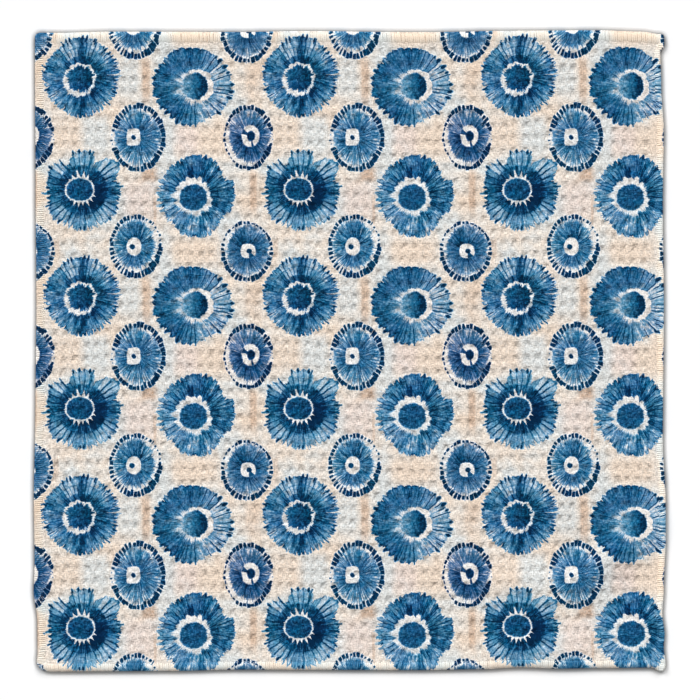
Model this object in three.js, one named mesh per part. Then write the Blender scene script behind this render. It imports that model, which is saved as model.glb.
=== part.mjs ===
// A square waffle-weave washcloth with an overlocked edge, lying flat on a surface.
// Millimetres. X runs to the cloth's right, Y to its top edge and Z up from the surface it lies on.
// The origin is on that surface, under the middle of the cloth.
import * as THREE from "three";

// The cloth between the mean lines of its sides, and its thickness without the hem.
const clothWidth = 328;
const clothLength = 333;
const clothThickness = 2.2;

// The overlocked hem is a little thicker than the cloth, and its outer edge is rounded over.
const hemWidth = 6;
const hemSlope = 5;
const hemRise = 0.6;
const hemRound = 0.7;

// The cloth's own give takes up this much of a fold before the underside leaves the surface.
const foldGive = 0.4;

// The grid that carries the surface: lines close together at the corners, then at a fine step
// within foldedReach of the right and bottom sides, where the folds are, and an open one elsewhere.
const cornerLines = [0, 2.5, 6, 11];
const foldedReach = 84;
const foldedStep = 5.2;
const openStep = 12;

// How far each side strays outward from its mean line ("out"), by the place along it ("at"),
// which is measured from the cloth's middle towards +X or +Y.
const sides = {
  left: [
    { at: -163, out: -0.2 },
    { at: -157, out: -1.1 },
    { at: -141, out: -1.0 },
    { at: -125, out: 1.0 },
    { at: -110, out: 0.5 },
    { at: -78, out: 0.9 },
    { at: -26, out: 0 },
    { at: 26, out: -0.5 },
    { at: 78, out: -0.1 },
    { at: 150, out: 0.3 },
  ],
  right: [
    { at: -162, out: 0.9 },
    { at: -154, out: 0 },
    { at: -148, out: 0.5 },
    { at: -137, out: -0.7 },
    { at: -124, out: 0 },
    { at: -99, out: 1.0 },
    { at: -78, out: 1.0 },
    { at: -47, out: -0.5 },
    { at: 26, out: 0.1 },
    { at: 78, out: -0.5 },
    { at: 115, out: 0 },
    { at: 139, out: -1.3 },
    { at: 157, out: -1.8 },
    { at: 160, out: 0.3 },
  ],
  bottom: [
    { at: -150, out: 1.0 },
    { at: -94, out: 0.7 },
    { at: -57, out: 0 },
    { at: 37, out: 0.3 },
    { at: 68, out: -0.2 },
    { at: 89, out: -1.2 },
    { at: 110, out: -0.5 },
    { at: 131, out: -0.8 },
    { at: 157, out: -1.0 },
    { at: 162, out: 1.0 },
  ],
  top: [
    { at: -151, out: -0.5 },
    { at: -125, out: 0.1 },
    { at: -57, out: -0.1 },
    { at: -26, out: 0.4 },
    { at: 37, out: -0.2 },
    { at: 89, out: 0.6 },
    { at: 131, out: 0.8 },
    { at: 152, out: 0.1 },
    { at: 162, out: -1.2 },
  ],
};

// A stray of a side fades out over this distance into the cloth.
const strayFade = 30;

// The corners, by the signs of their X and Y, and how far each is rounded.
const corners = [
  { name: "top left", x: -1, y: 1, radius: 2.6 },
  { name: "top right", x: 1, y: 1, radius: 1.8 },
  { name: "bottom left", x: -1, y: -1, radius: 7 },
  { name: "bottom right", x: 1, y: -1, radius: 2.6 },
];

// Soft folds, each a long low mound about (x, y), turned from the X axis by "turn" degrees.
// A ridge has a height above 0 and lifts the sheet. A trough has one below 0 and presses into its top.
const folds = [
  { name: "corner ridge", x: 135, y: -110, turn: 37, length: 66, width: 17, height: 2.6 },
  { name: "corner trough", x: 144, y: -126, turn: 45, length: 40, width: 14, height: -0.6 },
  { name: "inner trough", x: 117, y: -101, turn: 25, length: 34, width: 13, height: -0.6 },
  { name: "lower ridge", x: 86, y: -121, turn: -4, length: 56, width: 18, height: 1.3 },
  { name: "edge ridge", x: 98, y: -156, turn: 2, length: 52, width: 15, height: 1.6 },
  { name: "side ridge", x: 117, y: -57, turn: 98, length: 44, width: 22, height: 0.7 },
  { name: "middle ridge", x: 13, y: 46, turn: -2, length: 190, width: 34, height: 0.6 },
  { name: "upper ridge", x: -45, y: 93, turn: -3, length: 210, width: 42, height: 0.9 },
  { name: "left ridge", x: -141, y: 78, turn: 8, length: 40, width: 20, height: 0.8 },
];

// 0 below low, 1 above high, and an S-shaped ease between them.
function ease(low, high, value) {
  const share = THREE.MathUtils.clamp((value - low) / (high - low), 0, 1);
  return share * share * (3 - 2 * share);
}

// The outward stray at a place along a side: eased from row to row, and level past the ends.
function stray(rows, at) {
  const next = rows.findIndex((row) => row.at > at);
  if (next === 0) return rows[0].out;
  if (next < 0) return rows.at(-1).out;
  const [before, after] = [rows[next - 1], rows[next]];
  return THREE.MathUtils.lerp(before.out, after.out, ease(before.at, after.at, at));
}

// Turns a point of the straight-sided cloth into one with rounded corners. A square at the corner
// becomes a quarter disc: each point moves along its own ray from the square's inner corner.
function roundCorner(x, y) {
  const corner = corners.find((row) => Math.sign(x) === row.x && Math.sign(y) === row.y);
  if (!corner) return { x, y };
  const startX = clothWidth / 2 - corner.radius;
  const startY = clothLength / 2 - corner.radius;
  const pastX = Math.abs(x) - startX;
  const pastY = Math.abs(y) - startY;
  if (pastX <= 0 || pastY <= 0) return { x, y };
  const scale = Math.max(pastX, pastY) / Math.hypot(pastX, pastY);
  return { x: corner.x * (startX + pastX * scale), y: corner.y * (startY + pastY * scale) };
}

// A point's place in plan: corners rounded, then carried by the strays of the sides near it.
function planPoint(x, y) {
  const round = roundCorner(x, y);
  const fadeFrom = (distance) => Math.exp(-distance / strayFade);
  return new THREE.Vector2(
    round.x
      + stray(sides.right, y) * fadeFrom(clothWidth / 2 - x)
      - stray(sides.left, y) * fadeFrom(clothWidth / 2 + x),
    round.y
      + stray(sides.top, x) * fadeFrom(clothLength / 2 - y)
      - stray(sides.bottom, x) * fadeFrom(clothLength / 2 + y),
  );
}

// The height of all folds together at a point.
function foldHeight(x, y) {
  return folds.reduce((sum, fold) => {
    const turn = THREE.MathUtils.degToRad(fold.turn);
    const along = (x - fold.x) * Math.cos(turn) + (y - fold.y) * Math.sin(turn);
    const across = (y - fold.y) * Math.cos(turn) - (x - fold.x) * Math.sin(turn);
    return sum + fold.height * Math.exp(-((2 * along / fold.length) ** 2) - (2 * across / fold.width) ** 2);
  }, 0);
}

// The underside lies on the surface, except where a ridge is higher than the cloth's give.
function undersideHeight(x, y) {
  return Math.max(0, foldHeight(x, y) - foldGive);
}

// The top follows the folds and steps up to the hem near the sides.
function topHeight(x, y) {
  const fromSide = Math.min(clothWidth / 2 - Math.abs(x), clothLength / 2 - Math.abs(y));
  const hem = hemRise * (1 - ease(hemWidth, hemWidth + hemSlope, fromSide));
  return clothThickness + foldHeight(x, y) + hem;
}

// Even steps from just past start up to end.
function steps(start, end, step) {
  const count = Math.round((end - start) / step);
  return Array.from({ length: count }, (_, index) => start + ((end - start) * (index + 1)) / count);
}

// Distances of the grid lines from the plain end of a side that long to its folded end.
function gridLines(size) {
  const inner = cornerLines.at(-1);
  const foldStart = size - foldedReach;
  const farLines = cornerLines.slice(0, -1).map((line) => size - line).reverse();
  return [
    ...cornerLines,
    ...steps(inner, foldStart, openStep),
    ...steps(foldStart, size - inner, foldedStep),
    ...farLines,
  ];
}

// The sheet as one closed solid: a grid of top points, the same grid underneath, and a rounded hem
// whose outermost line stands hemRound outside both.
function makeCloth() {
  const columns = gridLines(clothWidth).map((line) => line - clothWidth / 2);
  const rows = gridLines(clothLength).map((line) => clothLength / 2 - line);
  const rowLength = columns.length;
  const layerSize = rowLength * rows.length;
  const shrink = { x: 1 - (2 * hemRound) / clothWidth, y: 1 - (2 * hemRound) / clothLength };
  const positions = [];
  for (const heightAt of [topHeight, undersideHeight]) {
    for (const y of rows) {
      for (const x of columns) {
        const plan = planPoint(x, y);
        positions.push(plan.x * shrink.x, plan.y * shrink.y, heightAt(x, y));
      }
    }
  }

  const triangles = [];
  const addQuad = (a, b, c, d) => triangles.push(a, b, c, a, c, d);
  for (let row = 0; row < rows.length - 1; row += 1) {
    for (let column = 0; column < rowLength - 1; column += 1) {
      const here = row * rowLength + column;
      const below = here + rowLength;
      addQuad(here, below, below + 1, here + 1);
      const under = layerSize + here;
      addQuad(under, under + 1, under + 1 + rowLength, under + rowLength);
    }
  }

  // The grid's border, walked once round anticlockwise as seen from above.
  const lastRow = layerSize - rowLength;
  const border = [
    ...rows.slice(0, -1).map((_, row) => row * rowLength),
    ...columns.slice(0, -1).map((_, column) => lastRow + column),
    ...rows.slice(0, -1).map((_, row) => layerSize - 1 - row * rowLength),
    ...columns.slice(0, -1).map((_, column) => rowLength - 1 - column),
  ];
  const rim = border.map((point) => {
    const x = columns[point % rowLength];
    const y = rows[Math.floor(point / rowLength)];
    const plan = planPoint(x, y);
    positions.push(plan.x, plan.y, (topHeight(x, y) + undersideHeight(x, y)) / 2);
    return positions.length / 3 - 1;
  });
  border.forEach((point, index) => {
    const next = (index + 1) % border.length;
    addQuad(point, rim[index], rim[next], border[next]);
    addQuad(rim[index], layerSize + point, layerSize + border[next], rim[next]);
  });

  const geometry = new THREE.BufferGeometry();
  geometry.setAttribute("position", new THREE.Float32BufferAttribute(positions, 3));
  geometry.setIndex(triangles);
  geometry.computeBoundingBox();
  const middle = geometry.boundingBox.getCenter(new THREE.Vector3());
  geometry.translate(-middle.x, -middle.y, 0);
  geometry.computeVertexNormals();

  const printedCotton = new THREE.MeshStandardMaterial({ color: 0x8fa6b4, roughness: 0.95, metalness: 0 });
  const mesh = new THREE.Mesh(geometry, printedCotton);
  mesh.name = "cloth";
  return mesh;
}

const washcloth = new THREE.Group();
washcloth.add(makeCloth());

export default washcloth;
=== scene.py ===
# A square batik washcloth of waffle-weave cotton with an overlocked edge, lying flat.
# The cloth's own sizes are in millimetres, X to its right side, Y to its top side, from its middle.
import math

import bpy
import numpy as np
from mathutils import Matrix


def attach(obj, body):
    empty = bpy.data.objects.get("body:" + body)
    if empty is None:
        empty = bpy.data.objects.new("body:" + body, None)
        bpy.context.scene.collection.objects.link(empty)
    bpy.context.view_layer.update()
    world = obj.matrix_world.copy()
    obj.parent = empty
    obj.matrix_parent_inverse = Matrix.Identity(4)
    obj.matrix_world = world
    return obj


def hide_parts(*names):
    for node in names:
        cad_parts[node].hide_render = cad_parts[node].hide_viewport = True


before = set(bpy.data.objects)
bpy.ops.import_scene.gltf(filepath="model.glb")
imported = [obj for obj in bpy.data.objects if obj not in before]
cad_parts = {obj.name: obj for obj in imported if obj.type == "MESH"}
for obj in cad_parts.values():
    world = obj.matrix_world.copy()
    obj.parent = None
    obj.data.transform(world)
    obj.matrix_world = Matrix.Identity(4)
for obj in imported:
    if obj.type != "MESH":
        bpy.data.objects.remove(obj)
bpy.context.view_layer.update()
metresPerMm = 0.001
chance = np.random.default_rng(11)

cloth = {
    "width": 328,  # between the mean lines of the sides
    "length": 333,
    "thickness": 2.2,
    "hemWidth": 6,
    "hemSlope": 5,
    "hemRise": 0.1,  # the overlock stitches make up the rest of the hem's height
    "hemRound": 0.7,
    "strayFade": 30,  # how far into the cloth a stray of its side is felt
    "foldGive": 0.4,  # a fold lower than this leaves the underside on the surface
    "columns": 280,  # grid cells of the upper face, twice those of the underside
    "rows": 250,
    "rimSteps": 5,
}

# How far each side strays outward from its mean line, as (place along the side, outward).
sides = {
    "left": ((-163, -0.2), (-157, -1.1), (-141, -1.0), (-125, 1.0), (-110, 0.5), (-78, 0.9),
             (-26, 0), (26, -0.5), (78, -0.1), (150, 0.3)),
    "right": ((-162, 0.9), (-154, 0), (-148, 0.5), (-137, -0.7), (-124, 0), (-99, 1.0), (-78, 1.0),
              (-47, -0.5), (26, 0.1), (78, -0.5), (115, 0), (139, -1.3), (157, -1.8), (160, 0.3)),
    "bottom": ((-150, 0.9), (-94, 0.6), (-57, -0.1), (37, 0.2), (68, -0.3), (89, -1.3), (110, -0.6),
               (131, -0.9), (157, -1.1), (162, 0.9)),
    "top": ((-151, -0.4), (-125, 0.2), (-57, 0), (-26, 0.5), (37, -0.1), (89, 0.7), (131, 0.9),
            (152, 0.2), (162, -1.1)),
}

# Corners as (sign of X, sign of Y, radius).
corners = ((-1, 1, 2.6), (1, 1, 1.8), (-1, -1, 7), (1, -1, 2.6))

# Soft folds as (x, y, turn in degrees, length, width, height): a ridge lifts the cloth and a
# trough, with a height below 0, presses into its top.
folds = (
    (135, -110, 37, 66, 17, 2.6),
    (144, -126, 45, 40, 14, -0.6),
    (117, -101, 25, 34, 13, -0.6),
    (86, -121, -4, 56, 18, 1.3),
    (98, -156, 2, 52, 15, 1.6),
    (117, -57, 98, 44, 22, 0.7),
    (13, 46, -2, 190, 34, 0.6),
    (-45, 93, -3, 210, 42, 0.9),
    (-141, 78, 8, 40, 20, 0.8),
)

# The waffle weave: hollow cells between raised ribs, a little askew to the sides.
waffle = {
    "columnPitch": 5.65,
    "rowPitch": 6.7,
    "columnLean": 5,  # degrees, top to the right
    "rowRise": 0.8,  # degrees, to the right
    "waver": 0.22,  # cells
    "waverLengths": (31, 47, 83, 37, 53, 71),  # of cloth to a radian of each sine
    "waverStarts": (1.0, 2.0, 0.5),  # radians
    "depth": 0.44,
    "undersideDepth": 0.45,
    "hollow": 0.78,  # how much of the cell the hollow takes up
    "squareness": 4,  # 2 would make the hollows round
    "hemGap": 1,
    "unevenness": 0.035,
    "evenEdge": 2,  # how far from the sides the unevenness is full
}

overlock = {
    "pitch": 1.05,
    "reach": 5.7,  # from the side inwards, over the top
    "keptReach": {"top": 1, "bottom": 0.72, "left": 0.82, "right": 0.62},  # the share of it
    "underReach": 4.2,
    "underFade": 2,  # where the cloth inside them comes down to the surface
    "thread": 0.6,  # half its width; it lies flattened
    "flatness": 0.3,
    "lift": 0.45,  # the cloth inside the stitches is this much off the surface
    "slant": 0.35,
    "endGap": 0.8,  # between the last stitch of a side and its corner
    "sway": 0.08,  # by chance, along the side
    "reachSway": 0.03,  # shares by chance, as the next
    "threadSway": 0.07,
    "sides": 5,
}


# An S-shaped ease from 0 below low to 1 above high: share squared times three less two shares.
def ease(low, high, value):
    share = np.clip((value - low) / (high - low), 0, 1)
    return share * share * (3 - 2 * share)


# The outward stray at places along a side: eased from row to row, level past the ends.
def stray(side, at):
    places, outs = np.array(sides[side], float).T
    after = np.clip(np.searchsorted(places, at), 1, len(places) - 1)
    before = after - 1
    return outs[before] + (outs[after] - outs[before]) * ease(places[before], places[after], at)


# Straight-sided points with the corners rounded: in each corner's square a point moves along its
# ray from the square's inner corner, so the square becomes a quarter disc.
def roundCorners(x, y):
    roundX, roundY = x.copy(), y.copy()
    for signX, signY, radius in corners:
        pastX = x * signX - (cloth["width"] / 2 - radius)
        pastY = y * signY - (cloth["length"] / 2 - radius)
        inside = (pastX > 0) & (pastY > 0)
        scale = np.maximum(pastX, pastY)[inside] / np.hypot(pastX, pastY)[inside]
        roundX[inside] = signX * (cloth["width"] / 2 - radius + pastX[inside] * scale)
        roundY[inside] = signY * (cloth["length"] / 2 - radius + pastY[inside] * scale)
    return roundX, roundY


# The plan of straight-sided points: corners rounded, then moved by each side's stray, which fades
# exponentially with the distance from that side.
def planOf(x, y):
    roundX, roundY = roundCorners(x, y)
    halfWidth, halfLength = cloth["width"] / 2, cloth["length"] / 2

    def fade(distance):
        return np.exp(-distance / cloth["strayFade"])

    planX = roundX + stray("right", y) * fade(halfWidth - x) - stray("left", y) * fade(halfWidth + x)
    planY = roundY + stray("top", x) * fade(halfLength - y) - stray("bottom", x) * fade(halfLength + y)
    return planX, planY


# The folds' height: for each, its height times a bell curve along and another across it.
def foldHeight(x, y):
    total = np.zeros_like(x)
    for foldX, foldY, turn, length, width, height in folds:
        c, s = math.cos(math.radians(turn)), math.sin(math.radians(turn))
        along = (x - foldX) * c + (y - foldY) * s
        across = (y - foldY) * c - (x - foldX) * s
        total += height * np.exp(-((2 * along / length) ** 2) - (2 * across / width) ** 2)
    return total


# How far points are from the nearest side.
def fromSide(x, y):
    return np.minimum(cloth["width"] / 2 - np.abs(x), cloth["length"] / 2 - np.abs(y))


# The smooth top: thickness, folds and the step up to the hem.
def topHeight(x, y):
    hem = 1 - ease(cloth["hemWidth"], cloth["hemWidth"] + cloth["hemSlope"], fromSide(x, y))
    return cloth["thickness"] + foldHeight(x, y) + cloth["hemRise"] * hem


# The smooth underside: on the surface, under a high ridge lifted, and in the hem on its stitches.
def undersideHeight(x, y):
    reach = overlock["underReach"]
    hem = 1 - ease(reach, reach + overlock["underFade"], fromSide(x, y))
    return np.maximum(0, foldHeight(x, y) - cloth["foldGive"]) + overlock["lift"] * hem


# Weave coordinates, one unit for each cell: the plan sheared by the columns' lean and the rows'
# rise, plus a slow waver of sines.
def weaveCells(x, y):
    lean = math.tan(math.radians(waffle["columnLean"]))
    rise = math.tan(math.radians(waffle["rowRise"]))
    a, b, c, d, e, f = waffle["waverLengths"]
    startX, nextX, startY = waffle["waverStarts"]
    waverX = np.sin(y / a + startX) + np.sin(x / b - y / c + nextX)
    waverY = np.sin(x / d + startY) + np.sin(y / e + x / f)
    across = (x - y * lean) / waffle["columnPitch"] + waffle["waver"] * waverX
    up = (y - x * rise) / waffle["rowPitch"] + waffle["waver"] * waverY
    return across, up


# The waffle's relief, 0 on the ribs and below 0 in the hollows: an upside-down pyramid in each
# cell, by the distance from its middle, which is a high root of a sum of high powers and so counts
# along squares with round corners. Its edge is eased off.
def waffleRelief(x, y, depth):
    across, up = weaveCells(x, y)
    offX = np.abs(2 * (across % 1) - 1)
    offY = np.abs(2 * (up % 1) - 1)
    power, hem = waffle["squareness"], cloth["hemWidth"]
    fromMiddle = (offX**power + offY**power) ** (1 / power)
    inCloth = ease(hem + waffle["hemGap"], hem + cloth["hemSlope"], fromSide(x, y))
    return -depth * inCloth * (1 - ease(0, waffle["hollow"], fromMiddle))


# A smooth-shaded piece from points in millimetres.
def makeMesh(name, points, faces):
    mesh = bpy.data.meshes.new(name)
    mesh.from_pydata((points * metresPerMm).tolist(), [], faces)
    mesh.shade_smooth()
    mesh.update()
    piece = bpy.data.objects.new(name, mesh)
    bpy.context.scene.collection.objects.link(piece)
    return piece


# A point attribute for the materials, three numbers a point.
def addPlaces(piece, name, places):
    attribute = piece.data.attributes.new(name, "FLOAT_VECTOR", "POINT")
    attribute.data.foreach_set("vector", np.ascontiguousarray(places, np.float32).ravel())


# A UV map for baking, from one place for each point.
def addBakeMap(piece, places):
    corner = np.empty(len(piece.data.loops), np.int32)
    piece.data.loops.foreach_get("vertex_index", corner)
    layer = piece.data.uv_layers.new(name="OFBake")
    layer.data.foreach_set("uv", places[corner].astype(np.float32).ravel())


# The four-cornered faces of a grid of point numbers, turned over if flipped.
def gridFaces(numbers, flipped=False):
    a, b, c, d = numbers[:-1, :-1], numbers[:-1, 1:], numbers[1:, 1:], numbers[1:, :-1]
    order = (a, b, c, d) if flipped else (a, d, c, b)
    return np.stack(order, -1).reshape(-1, 4).tolist()


# The border of a grid of point numbers, once round anticlockwise from its top left corner.
def borderOf(numbers):
    return np.concatenate([numbers[:-1, 0], numbers[-1, :-1], numbers[:0:-1, -1], numbers[0, :0:-1]])


# A grid of points over the straight-sided cloth, row by row from its top left corner.
def gridOf(columns, rows):
    x = np.linspace(-cloth["width"] / 2, cloth["width"] / 2, columns + 1)
    y = np.linspace(cloth["length"] / 2, -cloth["length"] / 2, rows + 1)
    x, y = np.meshgrid(x, y)
    return x.ravel(), y.ravel()


# The plan drawn in by a share of the rim's radius.
def insetPlan(x, y, share):
    planX, planY = planOf(x, y)
    inset = 2 * cloth["hemRound"] * share
    return planX * (1 - inset / cloth["width"]), planY * (1 - inset / cloth["length"])


# The lines of the rim between the upper face and the underside, from above down: each is the
# outline at an angle of a half round, drawn in by one less its sine, and as high as its cosine.
def rimLines(x, y):
    high, low = topHeight(x, y), undersideHeight(x, y)
    lines = []
    for step in range(1, cloth["rimSteps"]):
        angle = math.pi * step / cloth["rimSteps"]
        height = (high + low) / 2 + (high - low) / 2 * math.cos(angle)
        lines.append(np.column_stack([*insetPlan(x, y, 1 - math.sin(angle)), height]))
    return lines


# The faces between lines of point numbers, and from the last to the underside's border, where two
# cells of the line meet one.
def rimFaces(lines, coarse):
    faces = []
    for above, below in zip(lines, lines[1:]):
        faces += np.column_stack([above, below, np.roll(below, -1), np.roll(above, -1)]).tolist()
    fine, nextCoarse = lines[-1], np.roll(coarse, -1)
    middle, nextFine = fine[1::2], np.roll(fine, -2)[::2]
    for triangle in ((fine[::2], coarse, middle), (coarse, nextCoarse, middle),
                     (middle, nextCoarse, nextFine)):
        faces += np.column_stack(triangle).tolist()
    return faces


# The sheet: an upper face of grid points at the smooth top plus the relief, an underside at half
# the fineness, and between them a half-round rim.
def makeSheet():
    columns, rows = cloth["columns"], cloth["rows"]
    topX, topY = gridOf(columns, rows)
    rough = chance.normal(0, waffle["unevenness"], len(topX))
    rough *= ease(0, waffle["evenEdge"], fromSide(topX, topY))
    topZ = topHeight(topX, topY) + waffleRelief(topX, topY, waffle["depth"]) + rough
    upper = np.column_stack([*insetPlan(topX, topY, 1), topZ])
    upperNumbers = np.arange(len(upper)).reshape(rows + 1, columns + 1)

    underX, underY = gridOf(columns // 2, rows // 2)
    relief = waffleRelief(underX, underY, waffle["undersideDepth"])
    under = np.column_stack([*insetPlan(underX, underY, 1), undersideHeight(underX, underY) - relief])
    underNumbers = len(upper) + np.arange(len(under)).reshape(rows // 2 + 1, columns // 2 + 1)

    border = borderOf(upperNumbers)
    rimX, rimY = topX[border], topY[border]
    rim = rimLines(rimX, rimY)
    start = len(upper) + len(under)
    lines = [border, *(start + np.arange(len(rim) * len(border)).reshape(len(rim), -1))]
    faces = gridFaces(upperNumbers) + gridFaces(underNumbers, flipped=True)
    faces += rimFaces(lines, borderOf(underNumbers))
    sheet = makeMesh("washclothSheet", np.vstack([upper, under, *rim]), faces)

    # For the materials: the flat place with 1 where the dye is full, and the weave with the way to
    # the side. Baked, the upper side fills most of the square, and the underside a strip above it.
    flatX = np.concatenate([topX, underX, *[rimX] * len(rim)])
    flatY = np.concatenate([topY, underY, *[rimY] * len(rim)])
    dyed = np.ones(len(flatX))
    dyed[len(topX):start] = 0
    addPlaces(sheet, "flatPlace", np.column_stack([flatX, flatY, dyed]))
    across, up = weaveCells(flatX, flatY)
    addPlaces(sheet, "weavePlace", np.column_stack([across, up, fromSide(flatX, flatY)]))
    bakeX = flatX / cloth["width"] * 0.98 + 0.5
    bakeY = flatY / cloth["length"] + 0.5
    bakeY = np.where(dyed == 0, 0.90 + 0.09 * bakeY, 0.01 + 0.86 * bakeY)
    addBakeMap(sheet, np.column_stack([bakeX, bakeY]))
    return sheet


# A stitch's path: it dives into the top, runs out over the hem, round the edge with a bead-like
# bulge, and back underneath. Each row has the distance from the side, the height as a share from
# the underside to the top, the height added to that, and the thickness.
def stitchPath():
    reach, under = overlock["reach"], overlock["underReach"]
    return np.array([
        (reach, 1, -0.25, 0.75),
        (reach - 0.6, 1, 0.08, 0.95),
        (reach / 2, 1, 0.14, 1.05),
        (1.0, 1, 0.08, 1),
        (0.15, 0.5, 0, 1.15),
        (0.9, 0, -0.05, 1),
        (under - 0.6, 0, -0.05, 1),
        (under, 0, 0.3, 0.7),
    ])


# The stitches of one side, from its middle, the directions inward and along it, half its length
# and the share of the reach that they keep. A tube is a flattened ring of points, its cosine along
# the side and its sine across the path, carried along the path. Gives the points, and their places
# on the flat cloth.
def sewSide(base, inward, along, half, share):
    path = stitchPath()
    base, inward, along = (np.array(v, float) for v in (base, inward, along))
    half -= overlock["endGap"]
    count = round(2 * half / overlock["pitch"])
    at = np.linspace(-half, half, count) + chance.normal(0, overlock["sway"], count)
    uneven = 1 + overlock["reachSway"] * chance.normal(0, 1, (count, 1))
    distance = share * path[:, 0] * uneven
    shift = overlock["slant"] * (path[:, 0] / overlock["reach"] - 0.5)
    place = base + distance[..., None] * inward + (at[:, None] + shift)[..., None] * along
    x, y = place[..., 0], place[..., 1]
    clampX = np.clip(x, -cloth["width"] / 2, cloth["width"] / 2)
    clampY = np.clip(y, -cloth["length"] / 2, cloth["length"] / 2)
    top, low = topHeight(clampX, clampY), undersideHeight(clampX, clampY)
    centre = np.stack([*planOf(x, y), low + (top - low) * path[:, 1] + path[:, 2]], -1)
    tangent = np.gradient(centre, axis=1)
    tangent /= np.linalg.norm(tangent, axis=-1, keepdims=True)
    sideways = np.broadcast_to([*along, 0], centre.shape)
    across = np.cross(tangent, sideways)
    uneven = 1 + overlock["threadSway"] * chance.normal(0, 1, (count, 1))
    radius = overlock["thread"] * path[:, 3] * uneven
    angle = np.arange(overlock["sides"]) * 2 * math.pi / overlock["sides"]
    high = overlock["flatness"] * np.sin(angle)
    ring = sideways[:, :, None] * np.cos(angle)[:, None] + across[:, :, None] * high[:, None]
    points = centre[:, :, None] + radius[:, :, None, None] * ring
    aside = radius[:, :, None] * np.cos(angle)
    return points, place[:, :, None] + aside[..., None] * along


# The overlock stitches: tubes of a few sides, one for each stitch, closed at both ends.
def makeStitches():
    halfWidth, halfLength = cloth["width"] / 2, cloth["length"] / 2
    kept = overlock["keptReach"]
    runs = [
        sewSide((0, halfLength), (0, -1), (1, 0), halfWidth, kept["top"]),
        sewSide((0, -halfLength), (0, 1), (-1, 0), halfWidth, kept["bottom"]),
        sewSide((-halfWidth, 0), (1, 0), (0, 1), halfLength, kept["left"]),
        sewSide((halfWidth, 0), (-1, 0), (0, -1), halfLength, kept["right"]),
    ]
    points, flat = (np.concatenate(parts) for parts in zip(*runs))
    count, steps, sides, _ = points.shape
    numbers = np.arange(count * steps * sides).reshape(count, steps, sides)
    around = np.roll(numbers, -1, 2)
    quads = np.stack([numbers[:, :-1], around[:, :-1], around[:, 1:], numbers[:, 1:]], -1)
    faces = quads.reshape(-1, 4).tolist()
    faces += np.concatenate([numbers[:, 0, ::-1], numbers[:, -1]]).tolist()
    stitches = makeMesh("overlockStitches", points.reshape(-1, 3), faces)
    addPlaces(stitches, "flatPlace", np.column_stack([flat.reshape(-1, 2), np.ones(numbers.size)]))
    # Each stitch is baked in its own cell of a square of cells.
    cells = math.ceil(math.sqrt(count))
    stitch, step, side = np.unravel_index(numbers.ravel(), numbers.shape)
    bakeX = (stitch % cells + 0.1 + 0.8 * side / (sides - 1)) / cells
    bakeY = (stitch // cells + 0.1 + 0.8 * step / (steps - 1)) / cells
    addBakeMap(stitches, np.column_stack([bakeX, bakeY]))
    return stitches


# sRGB hex to linear red, green, blue and alpha.
def colourOf(code):
    parts = [int(code[i:i + 2], 16) / 255 for i in (1, 3, 5)]
    linear = [p / 12.92 if p <= 0.04045 else ((p + 0.055) / 1.055) ** 2.4 for p in parts]
    return (*linear, 1)


# Gives the function that adds a node to a tree. It takes the node's kind, with its operation after
# a dot, sets its settings, and links or sets its inputs, given in order among those in use or in a
# dictionary by name. A node given as a value stands for its first output.
def adderFor(tree):
    def add(kind, *values, **settings):
        kind, _, operation = kind.partition(".")
        node = tree.nodes.new(kind if kind.startswith("NodeGroup") else "ShaderNode" + kind)
        if operation:
            node.operation = operation
        for name, value in settings.items():
            setattr(node, name, value)
        used = [socket for socket in node.inputs if socket.enabled]
        given = []
        for socket, value in zip(used, values):
            if isinstance(value, dict):
                given += [(next(s for s in used if s.name == name), value[name]) for name in value]
            else:
                given.append((socket, value))
        for socket, value in given:
            if isinstance(value, bpy.types.Node):
                value = next(output for output in value.outputs if output.enabled)
            if isinstance(value, bpy.types.NodeSocket):
                tree.links.new(value, socket)
            else:
                socket.default_value = value
        return node

    return add


def newMaterial(name):
    material = bpy.data.materials.new(name)
    material.use_nodes = True
    material.node_tree.nodes.clear()
    return material, adderFor(material.node_tree)


# The dye: rings of indigo left by tied resists. Sunbursts and eyelets stand on two lattices of
# square cells, half a cell apart, and the four rings of each repeat every two cells. A ring's
# place is counted in millimetres from the lower left corner of its cell.
dye = {
    "cell": 57.34,
    "sunburstsFrom": (-168.63, -175.8, 0),
    "eyeletsFrom": (-197.3, -204.47, 0),
    "stainsFrom": (-168.6, -170.7, 0),
    "strength": 0.055,  # what every disc is darker by than its rows say
    "fineRays": 5,  # to each coarse one
    "fineShare": 0.58,  # of the fine rays in the mottle of both
    "rayRoughness": 0.65,
    "cloudInk": 0.36,
    "creep": 1.7,  # how far the dye creeps along the threads, most of it much less
    "creepSize": 3.2,
    "cloudSize": 1.5,
    "stainSize": 17,
    "noiseRoughness": 0.6,
    "unevenStains": (0.6, 0.7),
    "stainFade": (0.5, 1.5),  # from full to nothing, in a stain's half sizes
    "whitening": 0.6,  # how far the cloth is bleached inside the rings
    "greyFrom": (0.38, 0.62, -0.05, 0.17),  # the creep's noise, and how grey it makes pale ink
    "hueFrom": (0.36, 0.64, 0.491, 0.509),  # the stains' noise, and the turn of the ink's hue
    "deepest": 1.05,  # ink this strong isn't greyed
    "coverFrom": (0.02, 0.3),  # the ink's strength where it starts to hide the ground, and has
    "lineSway": 0.3,
    "lineShorter": -0.12,
    "lineLater": 0.25,
    "chanceStep": 0.02,  # softness of the step between what chance shows and what it leaves out
    "seedStep": 17,  # keeps the chance numbers of one ring's cells from those of another's
}
noiseSpan = (0.3, 0.7)  # noise textures seldom go beyond it

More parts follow.
